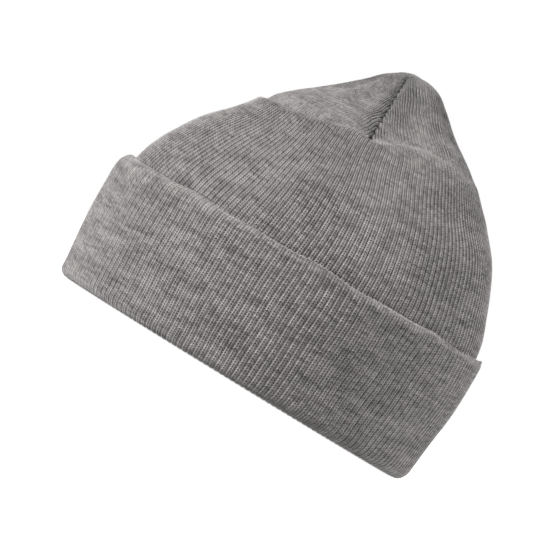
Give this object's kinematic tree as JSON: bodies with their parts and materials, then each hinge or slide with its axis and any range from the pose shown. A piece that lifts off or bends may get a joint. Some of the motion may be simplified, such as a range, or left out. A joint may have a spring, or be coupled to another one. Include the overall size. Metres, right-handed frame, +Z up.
{
  "type": "knit beanie",
  "caption": "Double-layer ribbed knit beanie with a turned-up cuff, a lining and a crown closed by crossing darts.",
  "frame": {"origin": "centre of the hem, on the plane the hem rests on", "axes": "+Z up to the tip of the crown, -Y to the wearer's forehead, +Y to the nape, +X to the wearer's left"},
  "size_m": [0.184, 0.216, 0.182],
  "materials": {
    "shell_knit": "heather grey rib knit, matt",
    "lining_knit": "heather grey rib knit, matt",
    "cuff_knit": "heather grey rib knit, matt",
    "sewing_thread": "grey textured polyester thread",
    "label_ribbon": "off-white woven ribbon, blank"
  },
  "bodies": {
    "hat": {"outer_shell": "shell_knit", "inner_lining": "lining_knit", "care_label": "label_ribbon", "label_stitches": "sewing_thread", "crown_tack": "sewing_thread", "shell_seam_left": "sewing_thread", "shell_overlock_left": "sewing_thread", "lining_seam_left": "sewing_thread", "lining_overlock_left": "sewing_thread", "shell_seam_back": "sewing_thread", "shell_overlock_back": "sewing_thread", "lining_seam_back": "sewing_thread", "lining_overlock_back": "sewing_thread", "shell_seam_right": "sewing_thread", "shell_overlock_right": "sewing_thread", "lining_seam_right": "sewing_thread", "lining_overlock_right": "sewing_thread", "shell_seam_front": "sewing_thread", "shell_overlock_front": "sewing_thread", "lining_seam_front": "sewing_thread", "lining_overlock_front": "sewing_thread"},
    "cuff": {"cuff_face": "cuff_knit", "cuff_backing": "cuff_knit", "hem_fold": "cuff_knit"}
  },
  "joints": [
    {"name": "cuff_turn_down", "type": "slide", "parent": "hat", "child": "cuff", "axis": [0, 0, -1], "range_m": [0, 0.066]}
  ]
}
